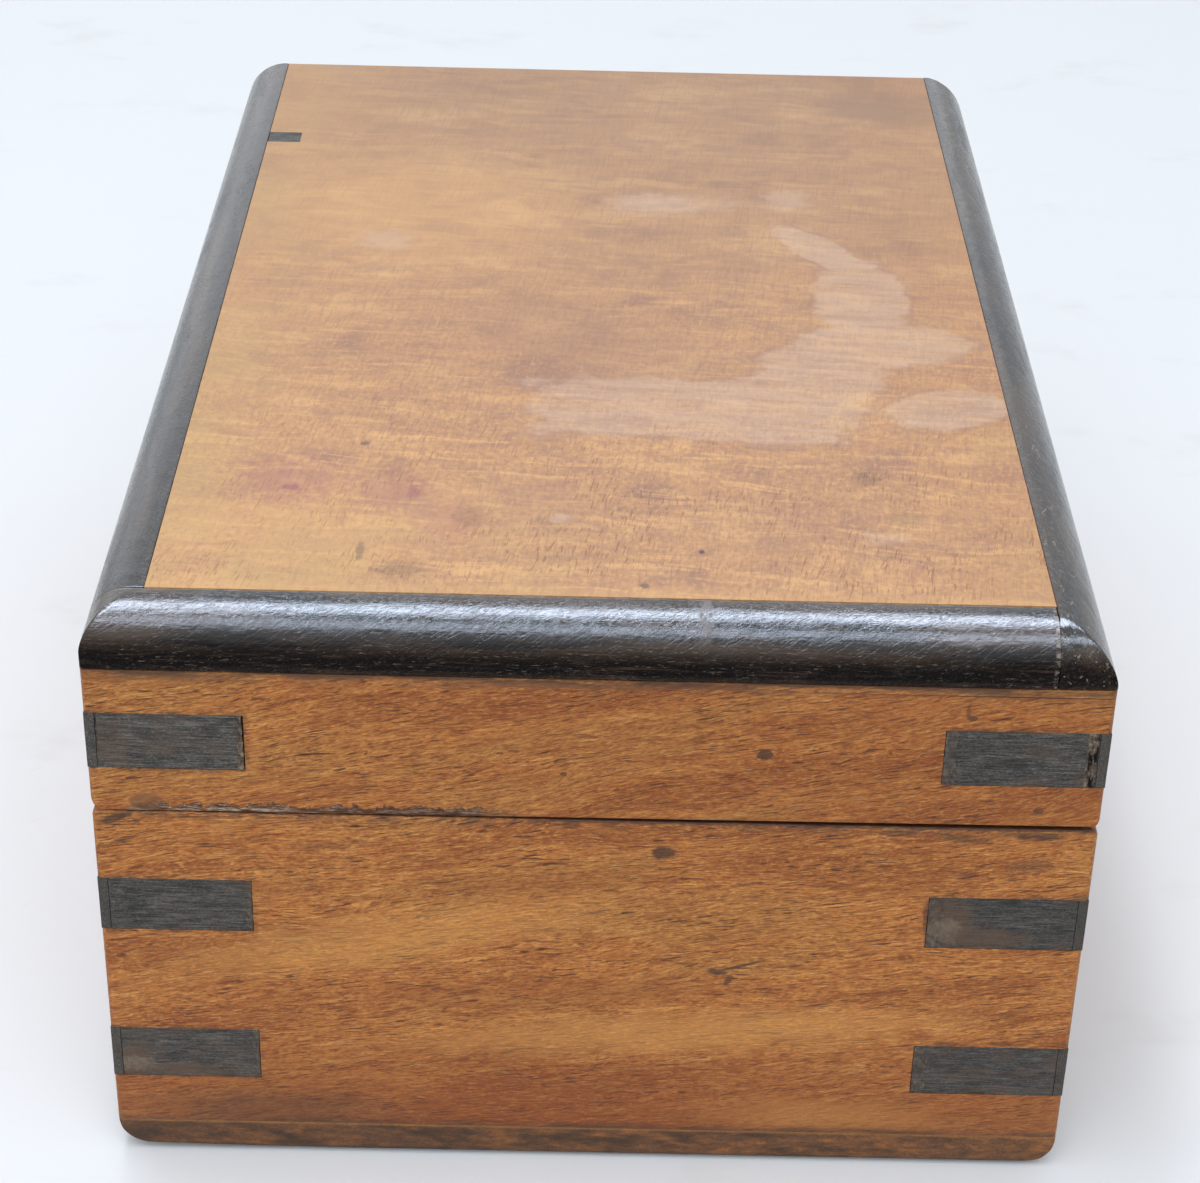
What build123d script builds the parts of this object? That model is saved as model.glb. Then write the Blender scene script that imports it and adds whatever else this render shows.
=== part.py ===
from build123d import *
import math
import os

# Wooden storage box: mitred boards, a planted bottom, black corner straps let in flush, and a lid with black beading
# that turns on two hinges at the far end. Millimetres, +Z up, front towards -Y, +X to the right.
# The origin is the middle of the underside.

# Boards of the body and the lid
box_width = 152.0
box_depth = 223.5
body_height = 67.4
lid_board_height = 23.95
wall_thickness = 10.0
bottom_thickness = 6.35
top_thickness = 10.35

# Seam between body and lid, which opens slightly towards the right
seam_gap_left = 0.12
seam_gap_right = 0.68

# Rounded edges of the outside, and the underside worn away towards its two long edges
foot_side_round = 5.5
foot_end_round = 2.0
foot_wear_left = 1.6
foot_wear_right = 0.9
foot_run_left = 46.0
foot_run_right = 24.0
foot_wear_blend = 150.0
corner_round = 0.9
body_rim_side_round = 1.1
body_rim_end_round = 0.4
lid_rim_left_round = 2.6
lid_rim_right_round = 1.7
lid_rim_end_round = 0.5
top_back_round = 0.8

# Beading along the front, left and right edges of the top, worn rounder on the right
beading_width = 8.85
beading_height = 9.0
beading_front_round = 7.5
beading_left_round = 7.4
beading_right_round = 8.5

# Corner straps: one level on the lid, two on the body
strap_height = 9.8
strap_thickness = 1.6
strap_length_left = 23.6
strap_length_right = 24.6
lower_strap_rise = 15.6
upper_strap_drop = 12.5
right_strap_sink = 0.5
lid_strap_rise = 8.0

# Patch let into the top beside the left beading
patch_width = 6.4
patch_length = 5.0
patch_depth = 3.0
patch_from_back = 43.6

# Hinges, half sunk in the back boards
hinge_length = 32.0
hinge_inset = 15.0
hinge_knuckles = 5
knuckle_radius = 2.4
knuckle_gap = 0.2
knuckle_clearance = 0.3
pin_radius = 0.9
pin_clearance = 0.05
pin_offset = 0.5
pin_end_gap = 0.3
leaf_thickness = 1.2
leaf_reach = 8.7
leaf_fit = 0.1

# Countersunk slotted screws of the hinges
screws_per_leaf = 3
screw_head_radius = 2.0
screw_shank_radius = 1.1
screw_length = 8.0
screw_tip = 2.0
screw_end_inset = 5.0
screw_slot_width = 0.5
screw_slot_depth = 0.45
screw_slot_turns = (20.0, 75.0, -35.0)

# Pins that hold the bottom board to the walls
nail_head_radius = 1.4
nail_head_height = 0.6
nail_sink = 2.0
nail_shank_radius = 0.7
nail_length = 18.0
nail_tip = 2.0
nail_inset = 5.8
nail_end_margin = 22.0
nails_per_side = 4
nails_per_end = 2

fastener_clearance = 0.03

# How far what cuts a solid reaches past its faces
cutter_margin = 2.0

# Places that follow from the sizes above
half_width = box_width / 2
half_depth = box_depth / 2
lid_board_top = body_height + lid_board_height
box_top = lid_board_top + top_thickness
hinge_gap = (seam_gap_left + seam_gap_right) / 2
pin_y = half_depth + pin_offset
pin_z = body_height + hinge_gap / 2
pocket_radius = knuckle_radius + knuckle_clearance
leaf_inner_edge = half_depth - leaf_reach
screw_row_y = (leaf_inner_edge + pin_y - pocket_radius) / 2
screw_head_depth = screw_head_radius - screw_shank_radius

CORNERS = {
    "front_left": (-1, -1),
    "front_right": (1, -1),
    "back_right": (1, 1),
    "back_left": (-1, 1),
}
WALLS = {
    "front": ("front_left", "front_right"),
    "right": ("front_right", "back_right"),
    "back": ("back_right", "back_left"),
    "left": ("back_left", "front_left"),
}
STRAP_LENGTHS = {-1: strap_length_left, 1: strap_length_right}
LEAF_WAYS = {"body": -1, "lid": 1}


def block(one_corner, other_corner):
    """A rectangular block between two opposite corners, given in any order."""
    size = [abs(far - near) for near, far in zip(one_corner, other_corner)]
    middle = [(near + far) / 2 for near, far in zip(one_corner, other_corner)]
    return Pos(*middle) * Box(*size)


def outline(corners):
    """A flat face with a rounded corner at each (across, up, radius)."""
    points = [(across, up) for across, up, radius in corners]
    radii = [radius for across, up, radius in corners]
    return make_face(FilletPolyline(*points, radius=radii, close=True))


def end_view_prism(corners):
    """An outline seen from the front, run from front to back."""
    return extrude(Plane.XZ * outline(corners), amount=half_depth, both=True)


def rounding(plane, corner, inward, radius, reach):
    """What the rounding of one edge takes away: the corner outside a quarter circle, run along the edge both ways."""
    across, up = corner
    left, down = inward
    side_end = (across, up + down * radius)
    top_end = (across + left * radius, up)
    on_diagonal = radius * (1 - math.cos(math.pi / 4))
    middle = (across + left * on_diagonal, up + down * on_diagonal)
    beyond_across = across - left * cutter_margin
    beyond_up = up - down * cutter_margin
    arc = ThreePointArc(side_end, middle, top_end)
    outside = Polyline(
        top_end, (top_end[0], beyond_up), (beyond_across, beyond_up), (beyond_across, side_end[1]), side_end
    )
    return extrude(plane * make_face(arc + outside), amount=reach, both=True)


def ease_edges(form, end_edges, low, high):
    """Rounds the front and back edges given as (plane, up, way inwards, radius by end), and the four upright corners."""
    across_reach = half_width + cutter_margin
    for plane, up, way, radii in end_edges:
        for end, radius in radii.items():
            form -= rounding(plane, (end * half_depth, up), (-end, way), radius, across_reach)
    upright_reach = (high - low) / 2 + cutter_margin
    middle = Plane.XY.offset((low + high) / 2)
    for side, end in CORNERS.values():
        form -= rounding(middle, (side * half_width, end * half_depth), (-side, -end), corner_round, upright_reach)
    return form


def body_outside():
    """The body's outer form: rounded foot, eased rim and corners."""
    from_front = [
        (-half_width, foot_wear_left, foot_side_round),
        (foot_run_left - half_width, 0, foot_wear_blend),
        (half_width - foot_run_right, 0, foot_wear_blend),
        (half_width, foot_wear_right, foot_side_round),
        (half_width, body_height, body_rim_side_round),
        (-half_width, body_height, body_rim_side_round),
    ]
    end_edges = [
        (Plane.YZ, 0, 1, {-1: foot_end_round, 1: foot_end_round}),
        (Plane.YZ, body_height, -1, {-1: body_rim_end_round, 1: body_rim_end_round}),
    ]
    return ease_edges(end_view_prism(from_front), end_edges, 0, body_height)


def lid_outside():
    """The lid's outer form: a rim that rises towards the right, and a top rounded where the beading runs."""
    rim_left = body_height + seam_gap_left
    rim_right = body_height + seam_gap_right
    from_front = [
        (-half_width, rim_left, lid_rim_left_round),
        (half_width, rim_right, lid_rim_right_round),
        (half_width, box_top, beading_right_round),
        (-half_width, box_top, beading_left_round),
    ]
    along_rim = Plane(
        origin=(0, 0, (rim_left + rim_right) / 2), x_dir=(0, 1, 0), z_dir=(box_width, 0, rim_right - rim_left)
    )
    end_edges = [
        (along_rim, 0, 1, {-1: lid_rim_end_round, 1: lid_rim_end_round}),
        (Plane.YZ, box_top, -1, {-1: beading_front_round, 1: top_back_round}),
    ]
    return ease_edges(end_view_prism(from_front), end_edges, body_height, box_top)


def mitred_prism(wall, low, high):
    """One wall between its two mitres, from one height to another."""
    first, second = [CORNERS[corner] for corner in WALLS[wall]]
    inner_width = half_width - wall_thickness
    inner_depth = half_depth - wall_thickness
    plan = Polygon(
        (first[0] * half_width, first[1] * half_depth),
        (second[0] * half_width, second[1] * half_depth),
        (second[0] * inner_width, second[1] * inner_depth),
        (first[0] * inner_width, first[1] * inner_depth),
        align=None,
    )
    return Pos(0, 0, low) * extrude(plan, amount=high - low)


def strap_blocks(corner, rise):
    """The end strap and the side strap of one corner: the side strap runs through to the end face."""
    side, end = CORNERS[corner]
    length = STRAP_LENGTHS[side]
    top = rise + strap_height
    end_strap = block(
        (side * (half_width - strap_thickness), end * half_depth, rise),
        (side * (half_width - length), end * (half_depth - strap_thickness), top),
    )
    side_strap = block(
        (side * half_width, end * half_depth, rise),
        (side * (half_width - strap_thickness), end * (half_depth - length), top),
    )
    return {"end": end_strap, "side": side_strap}


def turned(profile, place, way):
    """A turned piece from (radius, depth) points, its head at place, running up for way 1 and down for way -1."""
    face = Plane.XZ * Polygon(*[(radius, way * depth) for radius, depth in profile], align=None)
    return Pos(*place) * revolve(face, Axis.Z)


def screw_profile(extra):
    """Countersunk head, shank and tip, grown by extra for its hole."""
    head = screw_head_radius + extra
    shank = screw_shank_radius + extra
    end = screw_length + extra
    return [(0, 0), (head, 0), (shank, screw_head_depth), (shank, end - screw_tip), (0, end)]


def screw(place, way, turn):
    """A slotted screw with its slot turned about its own axis."""
    slot = Box(3 * screw_head_radius, screw_slot_width, 2 * screw_slot_depth)
    return turned(screw_profile(0), place, way) - Pos(*place) * Rot(0, 0, turn) * slot


def nail_profile(extra):
    """Flat head, shank and tip, grown by extra for its hole."""
    head = nail_head_radius + extra
    shank = nail_shank_radius + extra
    end = nail_length + extra
    head_end = nail_head_height
    return [(0, 0), (head, 0), (head, head_end), (shank, head_end), (shank, end - nail_tip), (0, end)]


def nail_places():
    """Where the pins enter the bottom board: along both sides and both ends."""
    side_span = box_depth - 2 * nail_end_margin
    end_span = box_width - 2 * nail_end_margin
    side_steps = [side_span * (step / (nails_per_side - 1) - 0.5) for step in range(nails_per_side)]
    end_steps = [end_span * (step / (nails_per_end - 1) - 0.5) for step in range(nails_per_end)]
    side_x = half_width - nail_inset
    end_y = half_depth - nail_inset
    places = [(side * side_x, along, nail_sink) for side in (-1, 1) for along in side_steps]
    return places + [(along, end * end_y, nail_sink) for end in (-1, 1) for along in end_steps]


def nail_holes():
    """The pins' holes, with the sunk head's hole open to the underside."""
    holes = []
    for x, y, head_low in nail_places():
        holes.append(turned(nail_profile(fastener_clearance), (x, y, head_low), 1))
        mouth_radius = nail_head_radius + fastener_clearance
        holes.append(Pos(x, y, head_low / 2) * Cylinder(mouth_radius, head_low))
    return holes


def pin_line_rod(radius, start, end):
    """A round rod on the hinge pin's own line."""
    return Pos((start + end) / 2, pin_y, pin_z) * Rot(0, 90, 0) * Cylinder(radius, end - start)


def knuckle_spans(centre, owner):
    """Where along X the body's knuckles, or the lid's, start and end."""
    pitch = hinge_length / hinge_knuckles
    first = 0 if owner == "body" else 1
    spans = []
    for place in range(first, hinge_knuckles, 2):
        start = centre - hinge_length / 2 + place * pitch
        start_gap = knuckle_gap / 2 if place > 0 else 0
        end_gap = knuckle_gap / 2 if place < hinge_knuckles - 1 else 0
        spans.append((start + start_gap, start + pitch - end_gap))
    return spans


def leaf_face(owner):
    """Height of the leaf's face that looks at the other leaf."""
    return pin_z + LEAF_WAYS[owner] * hinge_gap / 2


def screw_places(centre, owner):
    """Heads of one leaf's screws, flush with the leaf's face."""
    span = hinge_length - 2 * screw_end_inset
    steps = [span * (step / (screws_per_leaf - 1) - 0.5) for step in range(screws_per_leaf)]
    return [(centre + step, screw_row_y, leaf_face(owner)) for step in steps]


def leaf(centre, owner):
    """A hinge leaf with its knuckles, bored for the pin and countersunk for the screws."""
    other = "lid" if owner == "body" else "body"
    half_length = hinge_length / 2
    face = leaf_face(owner)
    back = face + LEAF_WAYS[owner] * leaf_thickness
    plate = block((centre - half_length, leaf_inner_edge, face), (centre + half_length, pin_y, back))
    for start, end in knuckle_spans(centre, other):
        plate -= pin_line_rod(pocket_radius, start - knuckle_gap, end + knuckle_gap)
    for start, end in knuckle_spans(centre, owner):
        plate += pin_line_rod(knuckle_radius, start, end)
    plate -= pin_line_rod(pin_radius + pin_clearance, centre - hinge_length, centre + hinge_length)
    for place in screw_places(centre, owner):
        plate -= turned(screw_profile(fastener_clearance), place, LEAF_WAYS[owner])
    return plate


def hinge_cutters(centre, owner):
    """What one hinge takes out of a back board: knuckle pocket, leaf recess and screw holes."""
    half_pocket = hinge_length / 2 + knuckle_clearance
    half_recess = hinge_length / 2 + leaf_fit
    recess_floor = leaf_face(owner) + LEAF_WAYS[owner] * leaf_thickness
    cutters = [
        pin_line_rod(pocket_radius, centre - half_pocket, centre + half_pocket),
        block(
            (centre - half_recess, leaf_inner_edge - leaf_fit, pin_z),
            (centre + half_recess, pin_y, recess_floor),
        ),
    ]
    for place in screw_places(centre, owner):
        cutters.append(turned(screw_profile(fastener_clearance), place, LEAF_WAYS[owner]))
    return cutters


def cut_all(solid, cutters):
    """A solid less everything in a list."""
    for cutter in cutters:
        solid -= cutter
    return solid


def beading_blocks():
    """The room of the three beading pieces: the front one reaches the left corner, the right one the front corner."""
    low = box_top - beading_height
    inner_x = half_width - beading_width
    inner_front = -half_depth + beading_width
    return {
        "front_beading": block((-half_width, -half_depth, low), (inner_x, inner_front, box_top)),
        "left_beading": block((-half_width, inner_front, low), (-inner_x, half_depth, box_top)),
        "right_beading": block((inner_x, -half_depth, low), (half_width, half_depth, box_top)),
    }


def patch_block():
    """The patch beside the left beading, flush with the top."""
    left = -half_width + beading_width
    front = half_depth - patch_from_back
    return block((left, front, box_top - patch_depth), (left + patch_width, front + patch_length, box_top))


pieces = {}
body_form = body_outside()
lid_form = lid_outside()
hinge_centre = half_width - hinge_inset - hinge_length / 2
hinge_centres = {"left": -hinge_centre, "right": hinge_centre}

# Corner straps, and the room that each takes from the boards
strap_rises = {
    "lower": lower_strap_rise,
    "upper": body_height - upper_strap_drop - strap_height,
    "lid": body_height + lid_strap_rise,
}
strap_room = {"body": [], "lid": []}
for level, rise in strap_rises.items():
    owner = "lid" if level == "lid" else "body"
    form = lid_form if level == "lid" else body_form
    for corner in CORNERS:
        sink = right_strap_sink if owner == "body" and corner.endswith("right") else 0
        for face, room in strap_blocks(corner, rise - sink).items():
            pieces[f"{level}_{corner}_{face}_strap"] = room & form
            strap_room[owner].append(room)

# Boards of the body
pin_holes = nail_holes()
pieces["bottom_board"] = cut_all(
    body_form & block((-half_width, -half_depth, 0), (half_width, half_depth, bottom_thickness)), pin_holes
)
for wall in WALLS:
    board = body_form & mitred_prism(wall, bottom_thickness, body_height)
    pieces[f"body_{wall}_board"] = cut_all(board, strap_room["body"] + pin_holes)

# Boards of the lid, its top and the beading
beading_room = beading_blocks()
for wall in WALLS:
    board = lid_form & mitred_prism(wall, body_height, lid_board_top)
    pieces[f"lid_{wall}_board"] = cut_all(board, strap_room["lid"] + list(beading_room.values()))
top_slab = lid_form & block((-half_width, -half_depth, lid_board_top), (half_width, half_depth, box_top))
pieces["lid_top_board"] = cut_all(top_slab, list(beading_room.values()) + [patch_block()])
pieces["top_patch"] = patch_block()
for name, room in beading_room.items():
    pieces[name] = room & lid_form

# Hinges
for owner in LEAF_WAYS:
    for centre in hinge_centres.values():
        board_name = f"{owner}_back_board"
        pieces[board_name] = cut_all(pieces[board_name], hinge_cutters(centre, owner))
for side, centre in hinge_centres.items():
    pin_reach = hinge_length / 2 - pin_end_gap
    pieces[f"{side}_hinge_pin"] = pin_line_rod(pin_radius, centre - pin_reach, centre + pin_reach)
    for owner, way in LEAF_WAYS.items():
        pieces[f"{side}_hinge_{owner}_leaf"] = leaf(centre, owner)
        places = screw_places(centre, owner)
        screws = [screw(place, way, turn) for place, turn in zip(places, screw_slot_turns)]
        pieces[f"{side}_hinge_{owner}_screws"] = Compound(screws)

# Pins of the bottom board
pieces["bottom_nails"] = Compound([turned(nail_profile(0), place, 1) for place in nail_places()])

os.makedirs("parts", exist_ok=True)
for name, piece in pieces.items():
    export_step(piece, f"parts/{name}.step")
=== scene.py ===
"""A wooden keepsake box with ebony beading and let-in ebony corner straps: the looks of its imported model."""

import math

import bpy
import numpy as np
from mathutils import Matrix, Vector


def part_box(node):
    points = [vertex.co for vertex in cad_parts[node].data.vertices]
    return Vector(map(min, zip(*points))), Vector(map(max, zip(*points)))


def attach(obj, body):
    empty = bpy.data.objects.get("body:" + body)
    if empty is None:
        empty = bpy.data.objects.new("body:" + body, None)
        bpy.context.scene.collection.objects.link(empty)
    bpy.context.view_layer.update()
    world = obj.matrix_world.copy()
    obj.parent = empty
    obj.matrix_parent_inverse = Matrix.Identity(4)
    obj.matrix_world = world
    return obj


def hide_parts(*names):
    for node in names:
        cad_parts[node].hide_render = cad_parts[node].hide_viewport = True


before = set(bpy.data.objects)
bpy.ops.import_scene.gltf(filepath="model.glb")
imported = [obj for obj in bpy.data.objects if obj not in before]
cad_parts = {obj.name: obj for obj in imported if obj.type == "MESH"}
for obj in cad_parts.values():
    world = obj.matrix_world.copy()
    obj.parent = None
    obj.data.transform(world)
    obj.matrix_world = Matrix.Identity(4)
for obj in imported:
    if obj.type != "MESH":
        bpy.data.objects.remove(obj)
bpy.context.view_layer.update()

bl_info = {
    "name": "Keepsake Box",
    "version": (1, 0, 0),
    "blender": (4, 5, 0),
    "location": "View3D > Sidebar > Keepsake Box",
    "description": "Dresses the keepsake box: boards, beading, straps, fixings and stage",
    "category": "Object",
}

MM = 0.001


def edge_of(node, side, axis):
    """Where a node's box begins, side 0, or ends, side 1, along an axis, in mm."""
    return getattr(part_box(node)[side], axis) / MM


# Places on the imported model, in mm
HALF_WIDTH = -edge_of("body_left_board", 0, "x")
HALF_DEPTH = -edge_of("body_front_board", 0, "y")
BODY_RIM = edge_of("body_front_board", 1, "z")
LID_RIM = edge_of("lid_front_board", 0, "z")
LID_BOARD_TOP = edge_of("lid_front_board", 1, "z")
BOTTOM_FACE = edge_of("bottom_board", 1, "z")
BOX_TOP = edge_of("front_beading", 1, "z")
BEAD_FOOT = edge_of("front_beading", 0, "z")
BEAD_INNER_X = edge_of("right_beading", 0, "x")
BEAD_INNER_FRONT = edge_of("front_beading", 1, "y")
CORNERS = [f"{end}_{side}" for end in ("front", "back") for side in ("left", "right")]
STRAP_ROWS = {"lower": "case", "upper": "case", "lid": "lid"}
STRAP_HEIGHTS = {row: [edge_of(f"{row}_front_left_end_strap", side, "z") for side in (0, 1)]
                 for row in STRAP_ROWS}
END_STRAP_END = -edge_of("lid_front_left_end_strap", 1, "x")
SIDE_STRAP_END = -edge_of("lid_front_left_side_strap", 1, "y")

# The faces that marks lie on
ON_FRONT = {"axis": "Y", "level": -HALF_DEPTH}
ON_TOP = {"axis": "Z", "level": BOX_TOP}

# Hand work: the beading's rounds, the wear of beading and straps, and how ragged the straps' torn ends are
ROUND, FULL_ROUND = 2.0, 1.75
WAVES, TORN_WAVES = 24, 12
BEAD_WEAR, BEAD_SWELL = 0.05 * MM, (4 * MM, 20 * MM)
STRAP_WEAR, STRAP_SWELL = 0.04 * MM, (3 * MM, 12 * MM)
TORN_SWELL, TORN_REACH = (0.8 * MM, 3.5 * MM), 1.5 * MM
FIRST_STRAP_SEED = 100

# The stage: the camera's picture in mm and reach in metres, the floor's reach in metres and its grid, where
# the table ends, in mm, as polished edges see it, and how bright the backdrop and their mirrored room are
SENSOR_MM, NEAREST, FARTHEST = 36.0, 0.01, 50.0
FLOOR_REACH, FLOOR_LINES = 6.0, 41
TABLE_END_MM, DARK_END_MM = -125, -165
BACKDROP, PALE_ROOM, DARK_ROOM = 0.95, 0.8, 0.06

# Each lamp, in metres: its width and depth, where it stands and what it faces, the setting that says how
# bright it is, and the kind of ray that passes it by
LAMPS = {
    "window lamp": ((1.6, 0.7), (-0.2, 1.3, 0.5), (0, 0, 0.1), "window", ""),
    "front lamp": ((1.3, 0.8), (-0.05, -0.66, 1.28), (0, -0.1, 0.1), "fill", "glossy"),
    "overhead lamp": ((0.58, 0.12), (-0.2, 0.06, 1.15), (0, 0, 0.1), "key", "glossy"),
    "low lamp": ((1.6, 0.8), (-0.1, -1.3, 0.55), (0, 0, 0.05), "low", "glossy"),
    "overhead window": ((1.3, 0.4), (-0.1, 0.24, 1.2), (0, -0.1, 0.1), "mirrored_top", "diffuse"),
    "upper front window": ((1.3, 0.2), (0, -0.6, 1.2), (0, -0.1, 0.1), "mirrored_front", "diffuse"),
}


def linear(hex_colour):
    """A colour written as sRGB hex, as linear red, green and blue: a channel c of 0 to 1 becomes c / 12.92 up
    to 0.04045, and ((c + 0.055) / 1.055) to the power 2.4 above it."""
    channel = np.array([int(hex_colour[place:place + 2], 16) for place in (1, 3, 5)]) / 255
    bent = np.where(channel <= 0.04045, channel / 12.92, ((channel + 0.055) / 1.055) ** 2.4)
    return tuple(float(value) for value in bent)


def tint(name, description, hex_colour):
    """A colour for the sidebar."""
    return bpy.props.FloatVectorProperty(
        name=name, description=description, subtype="COLOR", size=3, min=0, max=1, default=linear(hex_colour))


def length(name, description, millimetres):
    """A length for the sidebar."""
    return bpy.props.FloatProperty(name=name, description=description, subtype="DISTANCE", unit="LENGTH",
                                   min=0, default=millimetres * MM)


def strength(name, description, value):
    """How bright a lamp or the surround is, for the sidebar."""
    return bpy.props.FloatProperty(name=name, description=description, min=0.0, default=value)


def angle(name, description, degrees):
    """An angle for the sidebar."""
    return bpy.props.FloatProperty(
        name=name, description=description, subtype="ANGLE", unit="ROTATION", default=math.radians(degrees))


class KeepsakeTimber(bpy.types.PropertyGroup):
    """Colours and grain sizes of the teak boards."""
    board: tint("Board", "The boards' middle orange-brown", "#B47033")
    board_pale: tint("Board, pale", "The boards' pale streaks", "#D99B51")
    board_red: tint("Board, red", "The boards' red-brown streaks", "#7E3D17")
    board_dull: tint("Board, dull", "The boards' golden-olive zones", "#A5753A")
    pore: tint("Pore", "Dirt and old wax held in the pores", "#3A2013")
    top: tint("Top", "The top board's middle tan", "#BE8B5C")
    top_pale: tint("Top, ripple", "The pale ripple across the top board", "#DBA76B")
    top_mauve: tint("Top, mottle", "The dull mauve-brown mottle of the top board", "#9A6E56")
    # Also painted sheen: it greys the far half of the top, besides the real grey blot at the far right
    top_grey_and_sheen: tint("Top, far end", "The greyer wood of the far end", "#9C7C60")
    top_olive: tint("Top, olive", "The yellow-olive zones along the top's edges", "#BC9A60")
    stain: tint("Stain", "The pale water stain on the top", "#CDAE96")
    ink: tint("Ink", "The old purple-red ink marks on the top", "#8E4658")
    bottom: tint("Bottom", "The dirty bottom board", "#6E4A30")
    # Besides real dirt, this colour paints shade along the seam, round the straps and under the beading
    dirt: tint("Dirt", "Grey-brown dirt in corners and along edges", "#3A2F27")
    lint: tint("Lint", "Dry torn fibres and lint", "#B3A692")
    pore_long: length("Pore length", "How long the pores run along the grain", 4.0)
    pore_wide: length("Pore width", "How wide the pores lie across the grain", 0.27)


class KeepsakeEbony(bpy.types.PropertyGroup):
    """Colours and edge sizes of the ebony beading and straps."""
    black: tint("Black", "The beading's ground", "#120E0D")
    brown: tint("Brown streak", "The brown streaks along the beading's grain", "#3E2F26")
    grey: tint("Strap grey", "The straps' worn grey", "#484643")
    strap_dark: tint("Strap, dark line", "The straps' dark grain lines", "#2D2B29")
    strap_pale: tint("Strap, pale line", "The straps' pale grain lines", "#7B756B")
    smear: tint("Smear", "Brown dirt rubbed over beading and straps", "#5F4938")
    crumb: tint("Crumb", "Dry filler and lint in the joints", "#8A7B68")
    hole: tint("Hole", "The dark of holes and cracks", "#0C0908")
    front_round: length("Front round", "Radius of the front beading's upper edge", 7.5)
    left_round: length("Left round, near", "Radius of the left beading's upper edge at its front end", 6.8)
    left_round_far: length("Left round, far", "Radius of the left beading's upper edge at its back end", 8.8)
    right_round: length("Right round", "Radius of the right beading's upper edge", 8.8)
    joint_ease: length("Joint edge", "Radius of the beading's edges at its joints", 0.3)
    strap_ease: length("Strap edge", "Radius of the straps' worn edges", 0.05)
    strap_torn: length("Strap end", "How far the straps' inner ends are torn back", 0.35)


class KeepsakeMetal(bpy.types.PropertyGroup):
    """Colours of the fixings."""
    brass: tint("Brass", "Aged brass of the hinges", "#B08D4F")
    tarnish: tint("Tarnish", "Brown tarnish on the brass", "#6A5030")
    steel: tint("Steel", "Dull steel of screws and nails", "#8E8A84")
    rust: tint("Rust", "Rust on screws and nails", "#5E3A24")


class KeepsakeStage(bpy.types.PropertyGroup):
    """The camera, floor and lamps."""
    lens: bpy.props.FloatProperty(name="Lens", description="The camera's focal length in millimetres",
                                  subtype="DISTANCE_CAMERA", default=85.0, min=1.0)
    eye: bpy.props.FloatVectorProperty(name="Eye", description="Where the camera stands", unit="LENGTH",
                                       subtype="TRANSLATION", default=(-0.002775, -0.458956, 0.318579))
    pitch: angle("Pitch", "How far the camera looks down", 31.242)
    yaw: angle("Yaw", "How far the camera turns to the left", -0.4215)
    roll: angle("Roll", "How far the picture leans to the right", 1.4483)
    floor: tint("Floor", "The pale floor", "#EFF1F2")
    scuff: tint("Scuff", "Grey scuffs on the floor", "#C9C5BC")
    shade: tint("Dark room", "What polished edges mirror in front of the table", "#262422")
    sky: tint("Surround", "The soft light all round", "#F4F8FC")
    lamp_tint: tint("Lamp colour", "The lamps' cool daylight", "#F0F5FD")
    window_tint: tint("Window colour", "The blue sky in the windows that polished edges mirror", "#D8E6FB")
    surround: strength("Surround strength", "How bright the soft light all round is", 0.62)
    key: strength("Key radiance", "How bright the narrow lamp overhead shines", 16.0)
    fill: strength("Fill radiance", "How bright the broad lamp in front shines", 1.9)
    low: strength("Low radiance", "How bright the low lamp in front shines", 1.2)
    window: strength("Window radiance", "How bright the broad lamp behind shines", 0.72)
    mirrored_top: strength("Overhead window", "How bright the window overhead looks in polished edges", 17.0)
    mirrored_front: strength("Upper front window", "How bright the window high in front looks in them", 11.5)


# Forms

def places_between(low, high, edge, step):
    """Places from low to high: close together within edge of either end, where a rounding lies, and step
    apart between."""
    near_end = edge * np.array([0.0, 0.22, 0.45, 0.7, 1.0, 1.5])
    inner = np.linspace(low + 2 * edge, high - 2 * edge, max(2, int(round((high - low) / step)) + 1))
    return np.concatenate([low + near_end, inner, (high - near_end)[::-1]])


def fine_near_round(low, high, ease, radius):
    """Places along one side of a beading: close together within its edges, a fifteenth of the round apart
    where the round may lie, and 2 mm apart along its length."""
    edge = ease * np.array([0.0, 0.3, 0.65, 1.0])
    if high - low < 4 * radius:
        return np.concatenate([low + edge, np.linspace(low, high, 30)[2:-2], (high - edge)[::-1]])
    curve = np.linspace(ease * 1.5, radius * 1.05, 16)
    inner = np.linspace(low + radius * 1.2, high - radius * 1.2, int((high - low) / (2 * MM)))
    return np.concatenate([low + edge, low + curve, inner, (high - curve)[::-1], (high - edge)[::-1]])


def block_skin(xs, ys, zs):
    """The skin of a block: the points of the grid xs by ys by zs that lie on its six sides, each point once,
    and the four-cornered faces between neighbours, turned outwards."""
    index = np.arange(len(xs) * len(ys) * len(zs)).reshape(len(xs), len(ys), len(zs))
    sides = [(index[:, :, -1], 1), (index[:, :, 0], -1), (index[-1], 1), (index[0], -1),
             (index[:, -1, :], -1), (index[:, 0, :], 1)]
    corners = [np.stack([s[:-1, :-1], s[1:, :-1], s[1:, 1:], s[:-1, 1:]], -1).reshape(-1, 4)[:, ::turn]
               for s, turn in sides]
    used, faces = np.unique(np.concatenate(corners), return_inverse=True)
    grid = np.stack(np.meshgrid(xs, ys, zs, indexing="ij"), -1).reshape(-1, 3)
    return grid[used], faces.reshape(-1, 4)


def eased(points, low, high, radius):
    """Rounds every edge of a block: with q the nearest point of the block shrunk by the radius, each point
    becomes q + radius * (p - q) / |p - q|."""
    core = np.clip(points, low + radius, high - radius)
    away = points - core
    far = np.linalg.norm(away, axis=1, keepdims=True)
    return core + away * (radius / np.maximum(far, radius * 0.001))


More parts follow.
